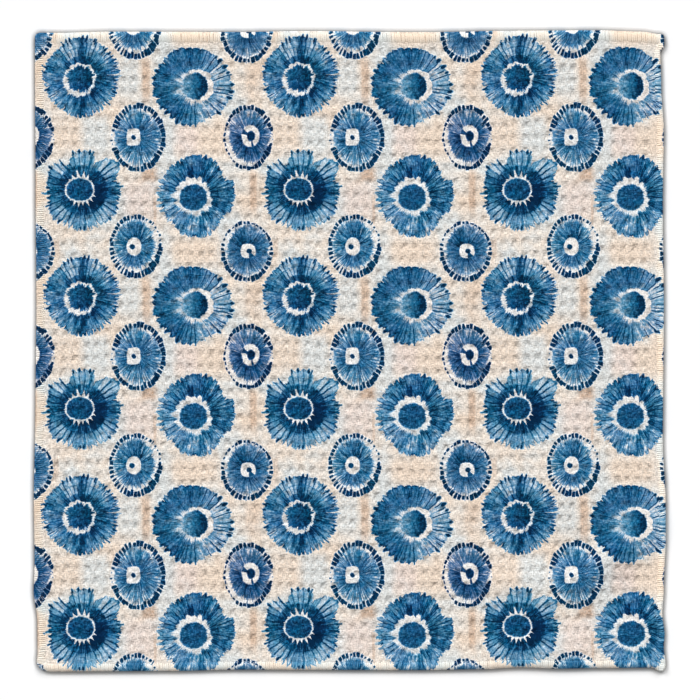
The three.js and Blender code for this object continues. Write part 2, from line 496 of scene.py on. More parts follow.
# What all sunbursts share, in shares of the radius, of a cell of a line or bead, or of full ink. A
# pair is a slope and a start: some other value is multiplied by the first, and the second is added.
sunburstLook = {
    "inkFrom": 0.48,  # where the ink near the middle starts to turn into the rim's
    "inkTo": 0.8,
    "panelInk": 0.16,
    "panelSway": 0.15,
    "panelHalfWidth": 0.37,
    "panelHalfLength": 0.44,
    "tierSeed": 0.7,  # from tier to tier
    "tongueSway": 0.3,
    "tongueRoundness": 2.5,
    "tongueGrowth": -0.042,  # makes up for what the slits take away
    "slitDepth": (2.6, 0.12),
    "tipInk": 0.3,
    "tipReach": 0.04,
    "lineWidth": 0.22,
    "lineInk": 0.97,
    "beadSway": 0.4,
    "beadInset": -0.45,
    "beadStretch": (3.6, 0.06),
    "beadSizes": (0.4, 0.6),
    "lobeSway": 0.3,
    "lobeTaper": (-1.8, 1),
    "lobeHeights": (0.35, 0.42),
    "thinnestRing": 0.8,  # mm
    "ringFray": (0.9, -0.5),
    "ringSoftness": (0.24, 0.02),
    "ringWhite": (-0.3, 1),
    "coreMottle": 0.3,  # the clouds' share in its edge; the rest is rays
    "coreCloud": 0.45,
    "coreStreaks": 0.2,
    "corePaler": -0.22,
}

# Each row of a sunburst: degrees anticlockwise from the right, then the ink near the bleached ring
# and at the rim, how far the ink reaches, how frayed the rim is, the ring's thickness in
# millimetres and its fuzziness, how many of the dark lines and of the beads on the rim show, and
# how pale the panels between the lines are.
sunburstRow = ("inkIn", "inkOut", "reach", "fray", "ring", "fuzz", "lines", "beads", "panels")

# A squarish one with lobes of its disc at the top and in the corners.
lobedBurst = {
    "across": 28.5, "up": 30.6, "halfWidth": 20.9, "halfHeight": 20.7, "seed": 10.9,
    "rays": 5, "bands": 3, "rayInk": 1.03, "violet": 0.05,
    "coreAcross": 27.2, "coreUp": 30.9, "coreWidth": 6.9, "coreHeight": 5.9,
    "coreInk": 0.84, "coreSlope": 0.05, "coreFray": 0.1,
    "lineCount": 36, "lineFrom": 0.4, "lineReach": 1.04,
    "panelsFrom": 0.6, "tiers": 1.9, "evenness": 0.75,
    "lobes": 19, "lobeSharpness": 2.2, "lobeFloor": 0.1, "beadCount": 44, "beadSize": 0.26,
    "rows": (
        (0, 1.04, 0.74, 1, 0.14, 1.6, 0.1, 0.1, 0.8, 0),
        (20, 1.02, 0.7, 0.97, 0.14, 1.6, 0.1, 0.5, 0.4, 0.5),
        (37, 0.94, 0.62, 1.2, 0.08, 1.6, 0.1, 0.8, 0.05, 1),
        (54, 0.9, 0.6, 1.06, 0.16, 3, 0.2, 0.5, 0.1, 0.9),
        (64, 0.82, 0.5, 0.84, 0.24, 4, 0.2, 0.1, 0.1, 0.3),
        (76, 0.84, 0.52, 1.04, 0.1, 6.5, 0.2, 0.5, 0.7, 0.8),
        (104, 0.84, 0.52, 1.04, 0.1, 8, 0.2, 0.5, 0.7, 0.8),
        (119, 0.8, 0.58, 0.8, 0.2, 4, 0.1, 0.1, 0.1, 0.3),
        (140, 0.82, 0.66, 1.08, 0.12, 3.2, 0.1, 0.8, 0.1, 1),
        (160, 0.88, 0.76, 0.97, 0.2, 2.2, 0.1, 0.1, 0.8, 0.1),
        (195, 0.9, 0.76, 0.96, 0.2, 1.2, 0.1, 0.1, 0.8, 0.1),
        (222, 0.84, 0.68, 1.07, 0.12, 2.4, 0.1, 0.8, 0.1, 1),
        (250, 1, 0.5, 1.1, 0.26, 5, 0.1, 0.1, 0.7, 0.5),
        (285, 1.06, 0.48, 1.12, 0.32, 5, 0.1, 0.1, 0.7, 0.6),
        (325, 1.16, 0.62, 1.06, 0.12, 3, 0.1, 0.8, 0.1, 0.9),
    ),
}

# One with a wide white ring, paler at its lower left.
palerBurst = {
    "across": 30.8, "up": 27.5, "halfWidth": 21.2, "halfHeight": 22.0, "seed": 7.7,
    "rays": 4.4, "bands": 3.6, "rayInk": 1.15, "violet": 0,
    "coreAcross": 29.5, "coreUp": 26.9, "coreWidth": 7.3, "coreHeight": 6.8,
    "coreInk": 0.78, "coreSlope": 0.02, "coreFray": 0.2,
    "lineCount": 46, "lineFrom": 0.42, "lineReach": 0.84,
    "panelsFrom": 0.55, "tiers": 3.6, "evenness": 0.1,
    "lobes": 17, "lobeSharpness": 0.5, "lobeFloor": 0.5, "beadCount": 40, "beadSize": 0.26,
    "rows": (
        (0, 0.84, 0.67, 1, 0.12, 1.9, 0.15, 0.3, 0, 0.2),
        (24, 0.88, 0.62, 1.05, 0.18, 1.7, 0.2, 0.6, 0.1, 0.2),
        (36, 0.7, 0.36, 0.84, 0.2, 2.6, 0.3, 0.4, 0.1, 0.4),
        (50, 0.94, 0.72, 1, 0.16, 2.8, 0.2, 0.6, 0.2, 0.1),
        (82, 0.87, 0.67, 1.02, 0.1, 3.9, 0.1, 0.4, 0, 0.1),
        (118, 0.86, 0.68, 1, 0.12, 3.8, 0.1, 0.5, 0.1, 0.3),
        (140, 0.72, 0.63, 1.05, 0.24, 3.6, 0.3, 0.8, 0.1, 0.6),
        (162, 0.76, 0.56, 1.06, 0.26, 3.2, 0.3, 0.8, 0, 0.7),
        (185, 0.6, 0.52, 1.06, 0.3, 3, 0.5, 0.7, 0, 0.8),
        (205, 0.52, 0.52, 1.04, 0.26, 2.8, 0.5, 0.5, 0, 0.6),
        (224, 0.34, 0.5, 0.96, 0.2, 2.4, 0.6, 0.1, 0, 0.4),
        (250, 0.54, 0.48, 1.02, 0.12, 2.2, 0.6, 0.25, 0, 0.2),
        (285, 0.58, 0.48, 1.04, 0.1, 3, 0.5, 0.6, 0.1, 0.2),
        (322, 0.68, 0.54, 0.9, 0.2, 3.2, 0.3, 0.2, 0, 0.4),
        (338, 0.86, 0.66, 0.98, 0.12, 2.4, 0.2, 0.3, 0, 0.2),
    ),
}

# One with tongues at its right side and dark pleats above and below.
tonguedBurst = {
    "across": 28.4, "up": 32.0, "halfWidth": 20.4, "halfHeight": 21.3, "seed": 1.3,
    "rays": 5, "bands": 3, "rayInk": 1.03, "violet": 0.1,
    "coreAcross": 27.5, "coreUp": 31.7, "coreWidth": 6.8, "coreHeight": 6.9,
    "coreInk": 0.84, "coreSlope": 0.16, "coreFray": 0.5,
    "lineCount": 46, "lineFrom": 0.66, "lineReach": 1.02,
    "panelsFrom": 0.54, "tiers": 4.6, "evenness": 0.35,
    "lobes": 15, "lobeSharpness": 0.5, "lobeFloor": 0.5, "beadCount": 56, "beadSize": 0.28,
    "rows": (
        (0, 0.94, 0.54, 1.06, 0.3, 1.5, 0.15, 0.7, 0.4, 0),
        (24, 0.9, 0.48, 1.08, 0.28, 1.6, 0.15, 0.7, 0.4, 0.1),
        (45, 0.8, 0.38, 1, 0.14, 1.9, 0.1, 0.5, 0.4, 0.6),
        (76, 0.82, 0.46, 0.99, 0.05, 1.6, 0.1, 0.5, 0.8, 0.9),
        (88, 1, 0.9, 1.01, 0.04, 1.1, 0.1, 0.8, 0.95, 0.2),
        (100, 0.82, 0.52, 0.99, 0.05, 1.7, 0.1, 0.5, 0.8, 0.9),
        (135, 0.76, 0.54, 0.99, 0.08, 1.9, 0.1, 0.4, 0.4, 0.9),
        (154, 0.74, 0.62, 1.01, 0.06, 1.8, 0.2, 0.5, 0.2, 0.3),
        (180, 0.58, 0.5, 1.01, 0.1, 1.8, 0.2, 0.3, 0.3, 0.2),
        (210, 0.62, 0.4, 1, 0.16, 3.2, 0.3, 0.2, 0.2, 0.2),
        (256, 0.72, 0.46, 1, 0.14, 2.6, 0.2, 0.2, 0, 0.2),
        (268, 0.98, 0.84, 1.02, 0.1, 2.2, 0.1, 0.5, 0.1, 0),
        (282, 0.78, 0.46, 1.02, 0.18, 2.2, 0.3, 0.2, 0, 0.1),
        (318, 0.8, 0.45, 1.02, 0.26, 1.5, 0.3, 0.3, 0, 0.2),
        (338, 0.92, 0.54, 1.05, 0.3, 1.4, 0.2, 0.7, 0.1, 0.1),
    ),
}

# One with dark ink on its left, pale panels on its right, and a core that fades.
moonBurst = {
    "across": 29.2, "up": 27.3, "halfWidth": 21.6, "halfHeight": 20.9, "seed": 4.1,
    "rays": 4.2, "bands": 1.6, "rayInk": 0.74, "violet": 0.25,
    "coreAcross": 30.1, "coreUp": 27.9, "coreWidth": 6.9, "coreHeight": 6.9,
    "coreInk": 0.68, "coreSlope": 0.42, "coreFray": 0.16,
    "lineCount": 44, "lineFrom": 0.48, "lineReach": 1.0,
    "panelsFrom": 0.5, "tiers": 1.8, "evenness": 0.3,
    "lobes": 13, "lobeSharpness": 0.3, "lobeFloor": 0.5, "beadCount": 36, "beadSize": 0.3,
    "rows": (
        (0, 0.32, 0.22, 1, 0.08, 3, 0, 0.9, 0.8, 0.5),
        (30, 0.32, 0.24, 0.97, 0.08, 2.9, 0, 0.95, 0.8, 0.5),
        (55, 0.42, 0.33, 0.98, 0.07, 2.6, 0, 0.9, 0.5, 0.4),
        (76, 0.54, 0.68, 1, 0.06, 2, 0.1, 0.7, 0.1, 0.1),
        (95, 0.56, 0.68, 1.01, 0.05, 1.4, 0.2, 0.3, 0, 0),
        (118, 0.54, 0.65, 1.07, 0.08, 1.6, 0.6, 0.1, 0.1, 0),
        (138, 0.4, 0.65, 1.01, 0.1, 2.6, 1.2, 0, 0.5, 0),
        (160, 0.54, 0.69, 1.04, 0.14, 3.2, 1.3, 0, 0.6, 0),
        (195, 0.58, 0.7, 1.02, 0.14, 3.4, 1.3, 0, 0.6, 0),
        (228, 0.5, 0.6, 0.97, 0.14, 3, 1.1, 0.1, 0.3, 0),
        (255, 0.56, 0.66, 1.03, 0.1, 2.2, 0.7, 0.2, 0, 0),
        (270, 0.46, 0.46, 0.99, 0.08, 2.4, 0.5, 0.6, 0.2, 0.2),
        (292, 0.34, 0.24, 0.88, 0.1, 2.4, 0.4, 0.1, 0, 0.2),
        (320, 0.34, 0.18, 0.94, 0.07, 2.4, 0.1, 0.9, 0.3, 0.4),
        (340, 0.28, 0.18, 0.96, 0.08, 2.8, 0, 0.6, 0.5, 0.4),
    ),
}

# The left and right ones of the lower row of a repeat, then of the upper row.
sunbursts = (lobedBurst, palerBurst, tonguedBurst, moonBurst)

# What all eyelets share, in the same way.
eyeletLook = {
    "inkFrom": 0.3,
    "inkTo": 0.85,
    "fray": 0.3,
    "bands": 1.5,
    "lineFrom": 0.4,
    "lineReach": 1.0,
    "lineWidth": 0.2,
    "lineInk": 0.8,
    "beadSway": 0.2,
    "beadWidths": (0.2, 0.23),
    "beadRays": 0.26,  # how much wider a bead is on a dark ray
    "beadScale": 0.16,
    "beadLengths": (-0.4, -0.75),
    "beadFoot": 0.98,
    "beadTops": (0.06, 0.95),
    "beadRound": 0.045,
    "beadInk": 0.97,
    "eyeCorner": 0.35,
    "eyeFray": 0.08,
    "cutTurn": 1.23,
    "cutSway": 0.2,
    "cutInk": 0.8,
    "dotInk": 0.95,
    "discReach": 0.98,
}

# Each row of an eyelet: degrees as before, then the ink near the eye and at the disc's rim, how far
# the disc reaches, how full the beads are, their length, and how many of the rays run on to them.
eyeletRow = ("inkIn", "inkOut", "reach", "fill", "bead", "lines")

# The smallest, dark at its upper left.
beadedEyelet = {
    "across": 28.65, "up": 27.15, "halfWidth": 13.9, "halfHeight": 16.2, "seed": 8.4,
    "rays": 4.5, "rayInk": 0.83, "violet": 0.45,
    "eyeAcross": 29.45, "eyeUp": 27.4, "eyeWidth": 4.1, "eyeHeight": 3.9, "eyeSquare": 0.45,
    "dotAcross": 30.0, "dotWidth": 1.3, "dotHeight": 1.3, "cuts": 1, "cutFrom": 0.485,
    "beadCount": 36, "lineCount": 50,
    "rows": (
        (0, 0.8, 0.38, 0.98, 0.95, 0.15, 0.5),
        (25, 0.84, 0.4, 1.04, 0.94, 0.08, 0.4),
        (50, 0.84, 0.3, 1.04, 1.02, 0.11, 0.2),
        (72, 0.84, 0.36, 1.04, 0.97, 0.09, 0.1),
        (100, 0.88, 0.4, 1, 0.8, 0.09, 0.1),
        (128, 0.9, 0.64, 0.93, 0.8, 0.1, 0.1),
        (158, 0.72, 0.45, 0.9, 0.6, 0.07, 0),
        (176, 0.7, 0.42, 0.88, 0.97, 0.16, 0.1),
        (215, 0.64, 0.26, 0.94, 1.0, 0.22, 0.3),
        (255, 0.72, 0.16, 0.93, 0.85, 0.17, 0.3),
        (285, 0.74, 0.16, 0.94, 0.9, 0.17, 0.4),
        (330, 0.74, 0.3, 0.96, 0.97, 0.17, 0.4),
    ),
}

# A taller one with small beads at its upper right.
slimEyelet = {
    "across": 27.85, "up": 29.75, "halfWidth": 14.2, "halfHeight": 17.1, "seed": 2.2,
    "rays": 6, "rayInk": 1.1, "violet": 0,
    "eyeAcross": 26.9, "eyeUp": 29.75, "eyeWidth": 4.1, "eyeHeight": 4.8, "eyeSquare": 0,
    "dotAcross": 26.0, "dotWidth": 1.45, "dotHeight": 1.35, "cuts": 1, "cutFrom": 1,
    "beadCount": 42, "lineCount": 56,
    "rows": (
        (0, 0.66, 0.46, 0.86, 1.0, 0.18, 0.4),
        (14, 0.66, 0.34, 0.88, 0.55, 0.07, 0.1),
        (45, 0.72, 0.34, 0.91, 0.5, 0.07, 0),
        (62, 0.78, 0.36, 0.94, 0.7, 0.09, 0.2),
        (78, 0.88, 0.46, 0.97, 0.94, 0.13, 0.5),
        (105, 0.84, 0.4, 0.97, 0.85, 0.13, 0.7),
        (140, 0.78, 0.38, 0.98, 0.8, 0.13, 0.8),
        (175, 0.72, 0.3, 0.96, 0.9, 0.14, 0.8),
        (205, 0.64, 0.3, 0.9, 0.6, 0.17, 0.8),
        (240, 0.62, 0.32, 0.86, 0.75, 0.2, 0.8),
        (262, 0.62, 0.34, 0.82, 0.97, 0.2, 0.3),
        (310, 0.72, 0.38, 0.83, 1.02, 0.24, 0.4),
        (340, 0.7, 0.4, 0.85, 1.0, 0.22, 0.3),
    ),
}

# The most violet, with a large dot and three cuts.
violetEyelet = {
    "across": 29.65, "up": 29.75, "halfWidth": 13.2, "halfHeight": 17.4, "seed": 11.8,
    "rays": 4, "rayInk": 0.94, "violet": 0.8,
    "eyeAcross": 30.7, "eyeUp": 30.4, "eyeWidth": 4.8, "eyeHeight": 6.1, "eyeSquare": 0.1,
    "dotAcross": 30.9, "dotWidth": 2.0, "dotHeight": 2.7, "cuts": 3, "cutFrom": 0.475,
    "beadCount": 38, "lineCount": 44,
    "rows": (
        (0, 0.92, 0.34, 1.04, 0, 0.02, 0.3),
        (16, 0.96, 0.36, 1.03, 0.97, 0.14, 0.4),
        (32, 0.96, 0.26, 0.98, 1.05, 0.24, 0.3),
        (60, 0.86, 0.24, 0.98, 1.0, 0.19, 0.4),
        (88, 0.56, 0.26, 1.03, 0.8, 0.14, 0.5),
        (120, 0.36, 0.24, 1.04, 0.95, 0.14, 0.3),
        (148, 0.28, 0.24, 1.04, 0.75, 0.11, 0.1),
        (172, 0.76, 0.38, 0.93, 0.6, 0.07, 0),
        (220, 0.76, 0.42, 0.9, 0.7, 0.08, 0),
        (255, 0.84, 0.48, 0.86, 0.9, 0.1, 0.2),
        (285, 0.86, 0.42, 0.94, 0.85, 0.11, 0.4),
        (325, 0.88, 0.24, 1.03, 1.05, 0.23, 0.2),
        (344, 0.92, 0.3, 0.96, 0.9, 0.14, 0.3),
    ),
}

# One with a square eye and heavy beads.
squareEyelet = {
    "across": 29.15, "up": 29.55, "halfWidth": 14.8, "halfHeight": 18.1, "seed": 5.6,
    "rays": 5, "rayInk": 1.1, "violet": 0.12,
    "eyeAcross": 26.7, "eyeUp": 29.7, "eyeWidth": 3.8, "eyeHeight": 4.7, "eyeSquare": 0.55,
    "dotAcross": 26.7, "dotWidth": 1.25, "dotHeight": 1.35, "cuts": 1, "cutFrom": 1,
    "beadCount": 42, "lineCount": 54,
    "rows": (
        (0, 0.62, 0.44, 0.98, 0.95, 0.18, 0.9),
        (25, 0.64, 0.4, 0.97, 0.85, 0.19, 0.8),
        (45, 0.68, 0.4, 0.92, 1.0, 0.2, 0.3),
        (78, 0.66, 0.3, 0.92, 1.02, 0.17, 0.1),
        (97, 0.64, 0.32, 1.04, 0.75, 0.16, 0.8),
        (115, 0.62, 0.28, 1.04, 0.6, 0.2, 0.9),
        (136, 0.54, 0.24, 1.03, 0.95, 0.21, 0.5),
        (156, 0.62, 0.3, 1.0, 1.02, 0.25, 0.1),
        (172, 0.7, 0.34, 1.0, 0.4, 0.07, 0.2),
        (193, 0.72, 0.32, 0.98, 0.4, 0.07, 0.3),
        (206, 0.76, 0.24, 0.98, 1.05, 0.2, 0.1),
        (228, 0.84, 0.18, 0.95, 0.94, 0.12, 0.2),
        (262, 0.66, 0.2, 1, 0.97, 0.13, 0.7),
        (292, 0.64, 0.2, 0.94, 0.97, 0.2, 0.7),
        (328, 0.62, 0.26, 0.92, 1.02, 0.23, 0.7),
    ),
}

eyelets = (beadedEyelet, slimEyelet, violetEyelet, squareEyelet)
chartMargin = 0.01  # kept clear at both ends of each ring's half of a chart

# The ink's colour by its strength, and the cast that makes it greyer and more violet.
inkShades = (
    (0.0, "#d2e5f1"), (0.15, "#a9cbe0"), (0.3, "#7caaca"), (0.45, "#528eb4"), (0.6, "#2c739f"),
    (0.74, "#0c5b88"), (0.87, "#00446d"), (1.0, "#002849"),
)
inkCast = "#e6ccd8"

# The ground's colours, and its stains in each repeat: the middle in millimetres from the repeat's
# lower left corner, half the width and height, the colour, and how strong.
stainColours = {
    "plain": "#ebe1d6", "cool": "#dcdfde", "warm": "#ebd7c4", "pink": "#e8d4ca", "brown": "#cbab92",
    "bleached": "#ecedee",
}
groundStops = (("cool", 0.36), ("plain", 0.5), ("warm", 0.66))  # by the stains' noise
stains = (
    (20.5, 55.2, 8, 9, "warm", 0.8),
    (35.5, 55.2, 7, 9, "cool", 0.9),
    (72.4, 52, 5, 15, "cool", 0.9),
    (53, 86, 5, 12, "cool", 0.8),
    (84, 52, 7, 8, "pink", 0.7),
    (96, 52, 7, 8, "warm", 0.8),
    (88, 108, 12, 6, "warm", 0.9),
    (58.7, 20, 8, 10, "pink", 0.6),
    (3.5, 25, 1.8, 10, "brown", 0.7),
    (3, 82, 4, 8, "brown", 0.25),
    (4, 60, 4, 14, "warm", 0.7),
    (61.9, 82, 2.0, 12, "brown", 0.6),
    (63.2, 34, 4, 3.6, "brown", 0.8),
    (66.5, 13, 0.8, 9, "brown", 0.5),
    (14.7, 110, 1.6, 5, "brown", 0.4),
)


# Sets a colour ramp's stops, each a position and four values.
def fillRamp(ramp, rows):
    stops = ramp.color_ramp.elements
    for index, (position, *values) in enumerate(rows):
        stop = stops[index] if index < 2 else stops.new(position)
        stop.position, stop.color = position, values


# One output for each named column of the rows, read at a place from 0 to 1: colour ramps hold the
# rows as their stops, four columns to a ramp.
def readChart(add, place, rows, names, interpolation):
    found = {}
    for start in range(0, len(names), 4):
        ramp = add("ValToRGB", place)
        ramp.color_ramp.interpolation = interpolation
        fillRamp(ramp, [(row[0], *(*row[1 + start:5 + start], 1, 1, 1)[:4]) for row in rows])
        outputs = [*add("SeparateColor", ramp).outputs, ramp.outputs["Alpha"]]
        found.update(zip(names[start:start + 4], outputs))
    return found


# Which ring a place belongs to, and where it lies from that ring's middle: gives what all rings
# of the kind share, the ring's own values and its rows' values at that angle, with the place in
# the cell, the distance from the middle in shares of the ring's half sizes, the direction and its
# turn from 0 to 1. The four rings' values stand at the quarters of a chart.
def findRing(add, place, corner, rings, rowNames, look):
    fromCorner = add("VectorMath.SUBTRACT", place, corner)
    cells = add("VectorMath.DIVIDE", fromCorner, (dye["cell"],) * 3)
    number = add("VectorMath.FLOOR", cells)
    even = add("VectorMath.MODULO", number, (2, 2, 2))
    parity = add("SeparateXYZ", even).outputs
    ringNumber = add("VectorMath.DOT_PRODUCT", even, (0.25, 0.5, 0))
    chartPlace = add("Math.ADD", ringNumber, 0.125)
    names = [name for name in rings[0] if name != "rows"]
    rows = [(index / 4, *[ring[name] for name in names]) for index, ring in enumerate(rings)]
    found = {**look, **readChart(add, chartPlace, rows, names, "CONSTANT")}

    within = add("VectorMath.FRACTION", cells)
    within = add("VectorMath.MULTIPLY", within, (dye["cell"],) * 3)
    middle = add("CombineXYZ", found["across"], found["up"])
    size = add("CombineXYZ", found["halfWidth"], found["halfHeight"], 1)
    found["place"] = within
    away = add("VectorMath.SUBTRACT", within, middle)
    share = add("VectorMath.DIVIDE", away, size)
    found["length"] = add("VectorMath.LENGTH", share)
    found["direction"] = add("VectorMath.NORMALIZE", share)
    parts = add("SeparateXYZ", share).outputs
    angle = add("Math.ARCTAN2", parts["Y"], parts["X"])
    turn = add("Math.MULTIPLY_ADD", angle, 0.5 / math.pi, 1)
    found["turn"] = add("Math.FRACT", turn)

    # Two rings side by side share a chart, and the row of cells tells which chart counts.
    half = add("Math.MULTIPLY_ADD", parity["X"], 0.5, chartMargin)
    chartPlace = add("Math.MULTIPLY_ADD", found["turn"], 0.5 - 2 * chartMargin, half)
    charts = []
    for pair in (rings[:2], rings[2:]):
        rows = []
        for side, ring in enumerate(pair):
            for angle, *values in (*ring["rows"], (360, *ring["rows"][0][1:])):
                place = side / 2 + chartMargin + angle / 360 * (0.5 - 2 * chartMargin)
                rows.append((place, *values))
        charts.append(readChart(add, chartPlace, rows, rowNames, "LINEAR"))
    for name in rowNames:
        found[name] = add("Mix", parity["Y"], charts[0][name], charts[1][name])
    return found


# Noise that streaks outward from a ring's middle, from 0 to 1: even along each ray but for a few
# bands across it. Fineness multiplies the number of rays.
def rayNoise(add, ring, fineness):
    height = add("Math.MULTIPLY_ADD", ring["length"], ring["bands"], ring["seed"])
    height = add("CombineXYZ", 0, 0, height)
    rays = add("Math.MULTIPLY", ring["rays"], fineness)
    place = add("VectorMath.SCALE", ring["direction"], {"Scale": rays})
    place = add("VectorMath.ADD", place, height)
    roughness = dye["rayRoughness"]
    noise = add("TexNoise", {"Vector": place, "Scale": 1, "Detail": 2, "Roughness": roughness})
    return add("MapRange", noise, *noiseSpan)


# Cuts a turn into equal cells: gives the distance from the cell's middle, in cells, with the
# middle swayed by chance, and three chance numbers for the cell.
def turnCells(add, turn, count, seed, sway):
    cells = add("Math.MULTIPLY", turn, count)
    within = add("Math.FRACT", cells)
    number = add("Math.FLOOR", cells)
    number = add("Math.MULTIPLY_ADD", seed, dye["seedStep"], number)
    draw = add("TexWhiteNoise", {"W": number}, noise_dimensions="1D")
    draws = add("SeparateColor", draw.outputs["Color"]).outputs
    middle = add("Math.MULTIPLY_ADD", draws[2], sway, 0.5 - sway / 2)
    off = add("Math.SUBTRACT", within, middle)
    return add("Math.ABSOLUTE", off), draws


# The full value where a value is below the edge and 0 above it, with a soft step.
def isBelow(add, value, edge, soft, full=1):
    low = add("Math.SUBTRACT", edge, soft)
    high = add("Math.ADD", edge, soft)
    return add("MapRange", value, low, high, full, 0, interpolation_type="SMOOTHSTEP")


# The ink of a ring's disc: from the ink near the middle to the ink at the rim, streaked by the
# rays and clouded, with a frayed rim. Gives the ink, both noises and the rim's place.
def inkDisc(add, ring, cloud):
    coarse, fine = (rayNoise(add, ring, fineness) for fineness in (1, dye["fineRays"]))
    outward = add("MapRange", ring["length"], ring["inkFrom"], ring["inkTo"])
    ink = add("Mix", outward, ring["inkIn"], ring["inkOut"])
    both = add("Mix", dye["fineShare"], coarse, fine)
    ink = add("Math.ADD", ink, dye["strength"])
    ink = add("Math.MULTIPLY_ADD", add("Math.SUBTRACT", both, 0.5), ring["rayInk"], ink)
    ink = add("Math.MULTIPLY_ADD", add("Math.SUBTRACT", cloud, 0.5), dye["cloudInk"], ink)
    frayed = add("Math.MULTIPLY", both, ring["fray"])
    return ink, coarse, fine, add("Math.SUBTRACT", ring["reach"], frayed)


# Thin dark lines along the rays, in some of the cells, each of its own start and length.
def inkLines(add, ring):
    off, draws = turnCells(add, ring["turn"], ring["lineCount"], ring["seed"], dye["lineSway"])
    off = add("Math.MULTIPLY", off, ring["length"])
    end = add("Math.MULTIPLY_ADD", draws[1], dye["lineShorter"], ring["lineReach"])
    start = add("Math.MULTIPLY_ADD", draws[1], dye["lineLater"], ring["lineFrom"])
    line = isBelow(add, off, ring["lineWidth"] / 2, ring["lineWidth"] / 2, ring["lineInk"])
    line = isBelow(add, draws[0], ring["lines"], dye["chanceStep"], line)
    line = isBelow(add, ring["length"], end, soft=0.015, full=line)
    return isBelow(add, start, ring["length"], soft=0.06, full=line)


# Pale panels between the places of the lines, in tiers outward, like the pleats of tied cloth,
# each as pale as chance and the ring's evenness make it: gives how pale, from 0 to 1.
def palePanels(add, ring):
    half = add("Math.DIVIDE", 0.5, ring["lineCount"])
    turn = add("Math.FRACT", add("Math.ADD", ring["turn"], half))
    tier = add("Math.SUBTRACT", ring["length"], ring["panelsFrom"])
    tier = add("Math.MULTIPLY", tier, ring["tiers"])
    seed = add("Math.MULTIPLY_ADD", add("Math.FLOOR", tier), ring["tierSeed"], ring["seed"])
    off, draws = turnCells(add, turn, ring["lineCount"], seed, ring["panelSway"])
    within = add("Math.SUBTRACT", add("Math.FRACT", tier), 0.5)
    within = add("Math.ABSOLUTE", within)
    pale = add("Mix", ring["evenness"], draws[0], 1.0)
    pale = add("Math.MULTIPLY", pale, ring["panels"])
    pale = isBelow(add, off, ring["panelHalfWidth"], soft=0.08, full=pale)
    pale = isBelow(add, within, ring["panelHalfLength"], soft=0.06, full=pale)
    return isBelow(add, 0, tier, soft=0.08, full=pale)


# The way to a place from the middle of a ring's core, eye or dot, in shares of its half sizes, and
# its length.
def fromOval(add, ring, across, up, width, height):
    middle = add("CombineXYZ", ring[across], ring[up])
    size = add("CombineXYZ", ring[width], ring[height], 1)
    share = add("VectorMath.DIVIDE", add("VectorMath.SUBTRACT", ring["place"], middle), size)
    return share, add("VectorMath.LENGTH", share)


